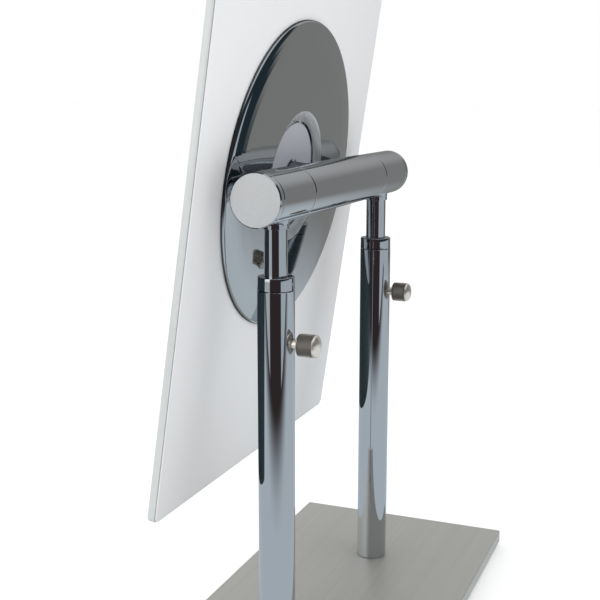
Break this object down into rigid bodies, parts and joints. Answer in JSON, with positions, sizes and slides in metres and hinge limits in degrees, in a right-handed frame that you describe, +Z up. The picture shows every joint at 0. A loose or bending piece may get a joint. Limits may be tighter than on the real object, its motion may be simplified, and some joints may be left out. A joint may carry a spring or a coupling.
{
  "type": "extendable shaving mirror",
  "caption": "Rectangular shaving mirror that tilts on a tubular crossbar, raised on telescopic posts with thumbscrew clamps over a flat weighted base.",
  "frame": {"origin": "centre of the non-slip pad's underside, midway between the posts", "axes": "+X along the crossbar to the right-hand post of a person looking into the mirror, +Y towards the rear, where the thumbscrews are, +Z up"},
  "size_m": [0.3, 0.145, 0.4372],
  "materials": {
    "chrome": "mirror-bright chrome plate",
    "satin_chrome": "satin chrome plate",
    "brushed_steel": "fine straight brushing",
    "nickel": "bead-blasted nickel plate over a diamond knurl",
    "steel": "plain turned steel",
    "nylon": "natural moulded nylon",
    "rubber": "matt non-slip sheet",
    "foam_tape": "double-sided foam tape",
    "backing_paint": "pale grey protective paint over silvering",
    "mirror_glass": "silvered float glass with polished edges"
  },
  "bodies": {
    "stand": {"base_plate": "brushed_steel", "base_pad": "rubber", "base_screw_left": "steel", "base_screw_right": "steel", "tube_plug_left": "steel", "tube_plug_right": "steel", "outer_tube_left": "chrome", "outer_tube_right": "chrome", "collar_ring_left": "chrome", "collar_ring_right": "chrome", "guide_bush_left": "nylon", "guide_bush_right": "nylon", "clamp_ring_left": "steel", "clamp_ring_right": "steel"},
    "lift": {"inner_rod_left": "chrome", "inner_rod_right": "chrome", "rod_guide_left": "nylon", "rod_guide_right": "nylon", "guide_screw_left": "steel", "guide_screw_right": "steel", "end_sleeve_left": "chrome", "end_sleeve_right": "chrome", "end_cap_left": "satin_chrome", "end_cap_right": "satin_chrome", "spring_washer_left": "steel", "spring_washer_right": "steel", "axle_nut_left": "steel", "axle_nut_right": "steel", "rod_grub_screw_left": "steel", "rod_grub_screw_right": "steel", "axle": "steel"},
    "mirror_head": {"center_sleeve": "chrome", "sleeve_bush_left": "nylon", "sleeve_bush_right": "nylon", "friction_washer_left": "nylon", "friction_washer_right": "nylon", "stem": "chrome", "stem_screw": "steel", "back_disc": "chrome", "adhesive_ring": "foam_tape", "mirror_backing": "backing_paint", "mirror_glass": "mirror_glass"},
    "clamp_left": {"clamp_tip_left": "nylon"},
    "clamp_right": {"clamp_tip_right": "nylon"},
    "screw_left": {"thumbscrew_left": "nickel"},
    "screw_right": {"thumbscrew_right": "nickel"}
  },
  "joints": [
    {"name": "post_extension", "type": "slide", "parent": "stand", "child": "lift", "axis": [0, 0, 1], "range_m": [-0.023, 0.11]},
    {"name": "mirror_tilt", "type": "hinge", "parent": "lift", "child": "mirror_head", "pos_m": [0, 0, 0.2636], "axis": [-1, 0, 0], "range_deg": [-13.5, 80]},
    {"name": "clamp_travel_left", "type": "slide", "parent": "stand", "child": "clamp_left", "axis": [0, 1, 0], "range_m": [0, 0.00165]},
    {"name": "thumbscrew_turn_left", "type": "hinge", "parent": "clamp_left", "child": "screw_left", "pos_m": [-0.08, 0, 0.1896], "axis": [0, 1, 0], "range_deg": [0, 720]},
    {"name": "clamp_travel_right", "type": "slide", "parent": "stand", "child": "clamp_right", "axis": [0, 1, 0], "range_m": [0, 0.00165]},
    {"name": "thumbscrew_turn_right", "type": "hinge", "parent": "clamp_right", "child": "screw_right", "pos_m": [0.08, 0, 0.1896], "axis": [0, 1, 0], "range_deg": [0, 720]}
  ],
  "couplings": [
    {"joint": "clamp_travel_left", "follows": "thumbscrew_turn_left", "m_per_rad": 0.00012732},
    {"joint": "clamp_travel_right", "follows": "thumbscrew_turn_right", "m_per_rad": 0.00012732}
  ]
}
